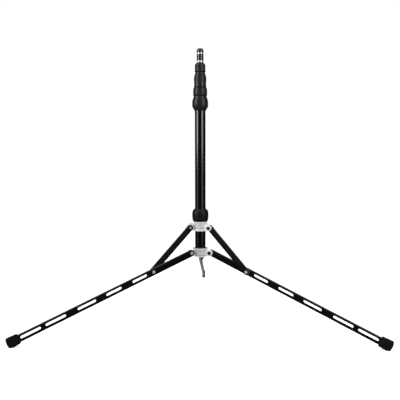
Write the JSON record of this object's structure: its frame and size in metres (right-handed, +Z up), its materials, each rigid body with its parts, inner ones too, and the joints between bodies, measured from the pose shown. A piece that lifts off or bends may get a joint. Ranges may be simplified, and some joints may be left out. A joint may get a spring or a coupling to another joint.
{
  "type": "reversible compact light stand",
  "caption": "Compact light stand with a telescoping twist-lock column, stud top and flat slotted tripod legs that fold up around it.",
  "frame": {"origin": "centre of the end plug's lower face, on the column's axis", "axes": "+Z up the column, one leg along +Y, the other two 120 degrees either side of it"},
  "size_m": [0.7705, 0.6722, 0.6341],
  "materials": {
    "black_anodised": "glossy black anodised tube",
    "soft_grip": "soft-touch moulded grip",
    "black_nylon": "moulded black nylon",
    "leg_black": "satin black coated bar",
    "chrome": "polished chrome plate",
    "cast_silver": "bright tumbled casting",
    "rivet_steel": "bright plated",
    "foot_rubber": "matt black rubber",
    "lock_plastic": "natural grey acetal"
  },
  "bodies": {
    "column": {"main_tube": "black_anodised", "column_plug": "black_nylon", "lower_hub": "cast_silver", "lock_sleeve_4": "lock_plastic", "leg_pin_1": "rivet_steel", "leg_pin_2": "rivet_steel", "leg_pin_3": "rivet_steel", "leg_nut_1": "black_nylon", "leg_nut_2": "black_nylon", "leg_nut_3": "black_nylon"},
    "section_2": {"tube_2": "black_anodised", "end_bush_2": "lock_plastic", "lock_sleeve_3": "lock_plastic"},
    "section_3": {"tube_3": "black_anodised", "end_bush_3": "lock_plastic", "lock_sleeve_2": "lock_plastic"},
    "section_4": {"tube_4": "black_anodised", "end_bush_4": "lock_plastic", "lock_sleeve_1": "lock_plastic"},
    "section_5": {"tube_5": "black_anodised", "end_bush_5": "lock_plastic", "spigot": "chrome"},
    "lock_collar_4": {"lock_collar_4": "soft_grip"},
    "lock_collar_3": {"lock_collar_3": "soft_grip"},
    "lock_collar_2": {"lock_collar_2": "soft_grip"},
    "lock_collar_1": {"lock_collar_1": "soft_grip"},
    "slider": {"slider_hub": "cast_silver", "slider_collet": "lock_plastic", "slider_pin_1": "rivet_steel", "slider_pin_2": "rivet_steel", "slider_pin_3": "rivet_steel", "slider_nut_1": "black_nylon", "slider_nut_2": "black_nylon", "slider_nut_3": "black_nylon"},
    "slider_collar": {"slider_collar": "soft_grip"},
    "leg_1": {"leg_1": "leg_black", "foot_cap_1": "foot_rubber", "joint_rivet_1": "rivet_steel"},
    "strut_1": {"strut_1": "leg_black", "joint_tail_1": "rivet_steel"},
    "leg_2": {"leg_2": "leg_black", "foot_cap_2": "foot_rubber", "joint_rivet_2": "rivet_steel"},
    "strut_2": {"strut_2": "leg_black", "joint_tail_2": "rivet_steel"},
    "leg_3": {"leg_3": "leg_black", "foot_cap_3": "foot_rubber", "joint_rivet_3": "rivet_steel"},
    "strut_3": {"strut_3": "leg_black", "joint_tail_3": "rivet_steel"}
  },
  "joints": [
    {"name": "section_2_slide", "type": "slide", "parent": "column", "child": "section_2", "axis": [0, 0, 1], "range_m": [0, 0.285]},
    {"name": "section_3_slide", "type": "slide", "parent": "section_2", "child": "section_3", "axis": [0, 0, 1], "range_m": [0, 0.285]},
    {"name": "section_4_slide", "type": "slide", "parent": "section_3", "child": "section_4", "axis": [0, 0, 1], "range_m": [0, 0.285]},
    {"name": "section_5_slide", "type": "slide", "parent": "section_4", "child": "section_5", "axis": [0, 0, 1], "range_m": [0, 0.285]},
    {"name": "lock_collar_4_twist", "type": "hinge", "parent": "column", "child": "lock_collar_4", "pos_m": [0, 0, 0.3452], "axis": [0, 0, 1], "range_deg": [0, 120]},
    {"name": "lock_collar_3_twist", "type": "hinge", "parent": "section_2", "child": "lock_collar_3", "pos_m": [0, 0, 0.3791], "axis": [0, 0, 1], "range_deg": [0, 120]},
    {"name": "lock_collar_2_twist", "type": "hinge", "parent": "section_3", "child": "lock_collar_2", "pos_m": [0, 0, 0.3979], "axis": [0, 0, 1], "range_deg": [0, 120]},
    {"name": "lock_collar_1_twist", "type": "hinge", "parent": "section_4", "child": "lock_collar_1", "pos_m": [0, 0, 0.4347], "axis": [0, 0, 1], "range_deg": [0, 120]},
    {"name": "slider_slide", "type": "slide", "parent": "column", "child": "slider", "axis": [0, 0, 1], "range_m": [0, 0.17881]},
    {"name": "slider_collar_twist", "type": "hinge", "parent": "slider", "child": "slider_collar", "pos_m": [0, 0, 0.0849], "axis": [0, 0, 1], "range_deg": [0, 120]},
    {"name": "leg_1_fold", "type": "hinge", "parent": "column", "child": "leg_1", "pos_m": [0, 0.027, 0.0111], "axis": [1, 0, 0], "range_deg": [0, 108.25]},
    {"name": "strut_1_fold", "type": "hinge", "parent": "slider", "child": "strut_1", "pos_m": [0, 0.027, 0.0705], "axis": [-1, 0, 0], "range_deg": [0, 44.47]},
    {"name": "leg_2_fold", "type": "hinge", "parent": "column", "child": "leg_2", "pos_m": [-0.02338, -0.0135, 0.0111], "axis": [-0.5, 0.866, 0], "range_deg": [0, 108.25]},
    {"name": "strut_2_fold", "type": "hinge", "parent": "slider", "child": "strut_2", "pos_m": [-0.02338, -0.0135, 0.0705], "axis": [0.5, -0.866, 0], "range_deg": [0, 44.47]},
    {"name": "leg_3_fold", "type": "hinge", "parent": "column", "child": "leg_3", "pos_m": [0.02338, -0.0135, 0.0111], "axis": [-0.5, -0.866, 0], "range_deg": [0, 108.25]},
    {"name": "strut_3_fold", "type": "hinge", "parent": "slider", "child": "strut_3", "pos_m": [0.02338, -0.0135, 0.0705], "axis": [0.5, 0.866, 0], "range_deg": [0, 44.47]}
  ],
  "couplings": [
    {"joint": "leg_1_fold", "follows": "slider_slide", "rad_per_m": 10.561},
    {"joint": "strut_1_fold", "follows": "slider_slide", "rad_per_m": 4.336},
    {"joint": "leg_2_fold", "follows": "slider_slide", "rad_per_m": 10.561},
    {"joint": "strut_2_fold", "follows": "slider_slide", "rad_per_m": 4.336},
    {"joint": "leg_3_fold", "follows": "slider_slide", "rad_per_m": 10.561},
    {"joint": "strut_3_fold", "follows": "slider_slide", "rad_per_m": 4.336}
  ]
}
